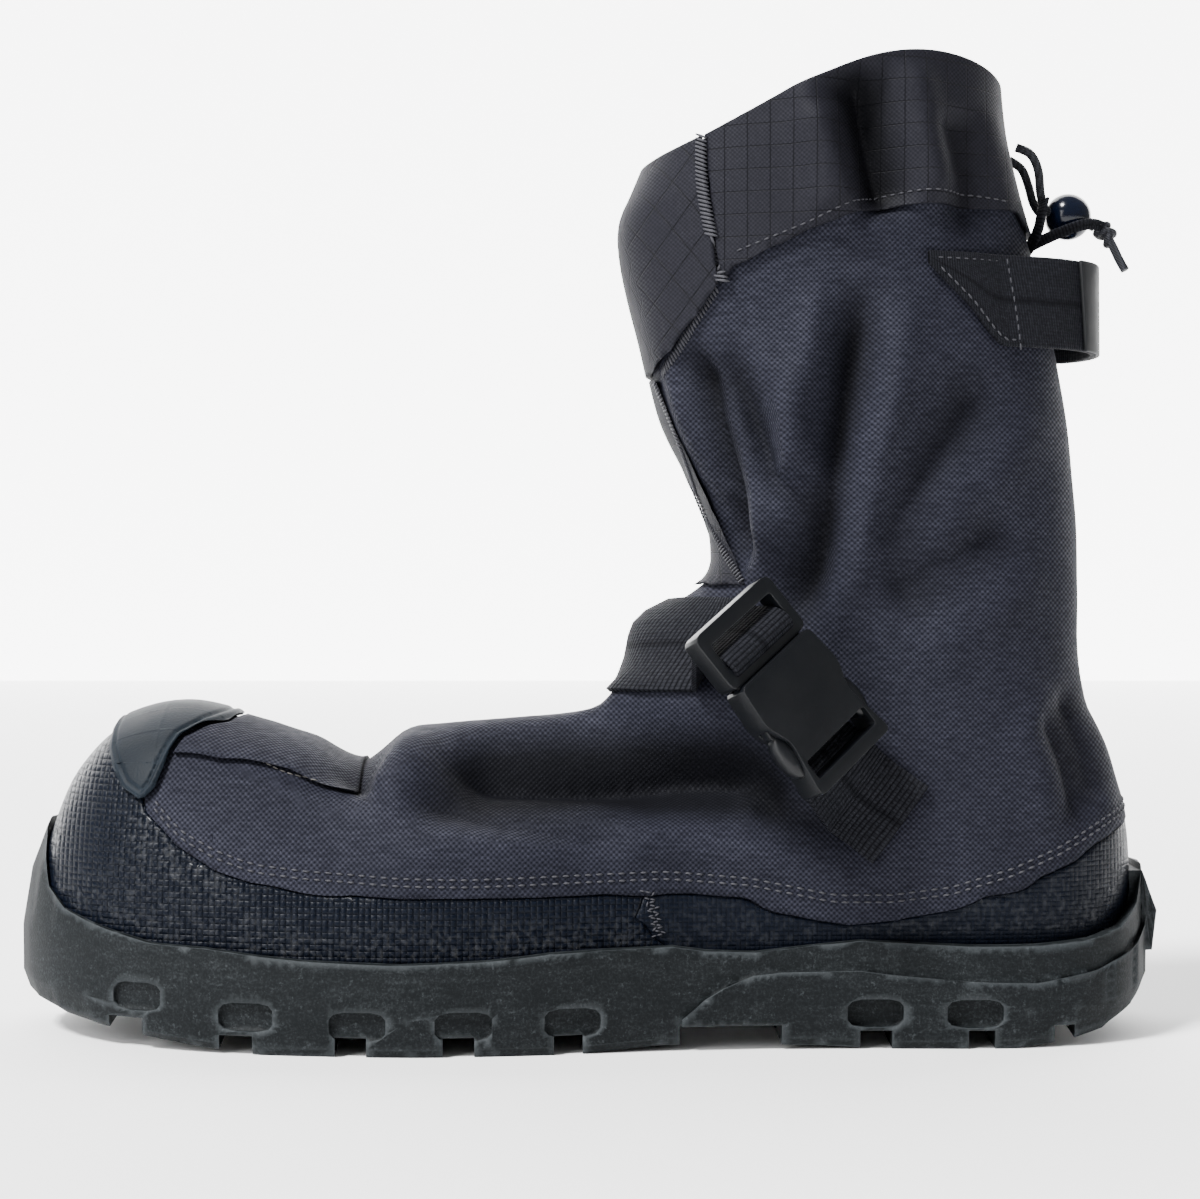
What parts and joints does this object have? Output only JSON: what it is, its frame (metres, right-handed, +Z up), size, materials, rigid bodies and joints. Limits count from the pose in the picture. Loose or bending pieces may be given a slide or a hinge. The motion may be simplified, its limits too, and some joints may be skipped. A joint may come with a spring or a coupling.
{
  "type": "winter overshoe",
  "caption": "Tall winter overshoe for the left foot: hollow nylon boot on a lugged rubber cup sole, with an instep strap, side buckle, fold-over cuff and finger loop.",
  "frame": {"origin": "middle of the heel's tread, on the floor", "axes": "-X towards the toe, -Y towards the outer side of the foot, +Z up"},
  "size_m": [0.3174, 0.125, 0.2665],
  "materials": {
    "sole_rubber": "moulded rubber, dull, scuffed",
    "insole_foam": "brushed felt on foam",
    "shaft_nylon": "plain woven coated nylon",
    "coated_rand": "coated basket weave",
    "patch_rubber": "smooth moulded rubber",
    "loop_tape": "looped pile tape",
    "cuff_ripstop": "ripstop nylon",
    "webbing": "ribbed webbing",
    "buckle_plastic": "satin moulded plastic",
    "gloss_ball": "glossy moulded plastic",
    "cord": "braided cord"
  },
  "bodies": {
    "root": {"outsole": "sole_rubber", "insole": "insole_foam", "upper": "shaft_nylon", "toe_rand": "coated_rand", "heel_rand": "coated_rand", "toe_patch": "patch_rubber", "vamp_strip": "loop_tape", "front_placket": "shaft_nylon", "cuff": "cuff_ripstop", "cuff_tab": "cuff_ripstop", "instep_strap": "webbing", "heel_tab": "webbing", "buckle_male": "buckle_plastic", "buckle_female": "buckle_plastic", "pull_loop": "webbing", "pull_label": "patch_rubber", "drawcord_near": "cord", "drawcord_far": "cord", "cord_lock": "gloss_ball", "cord_knot": "cord"}
  },
  "joints": []
}
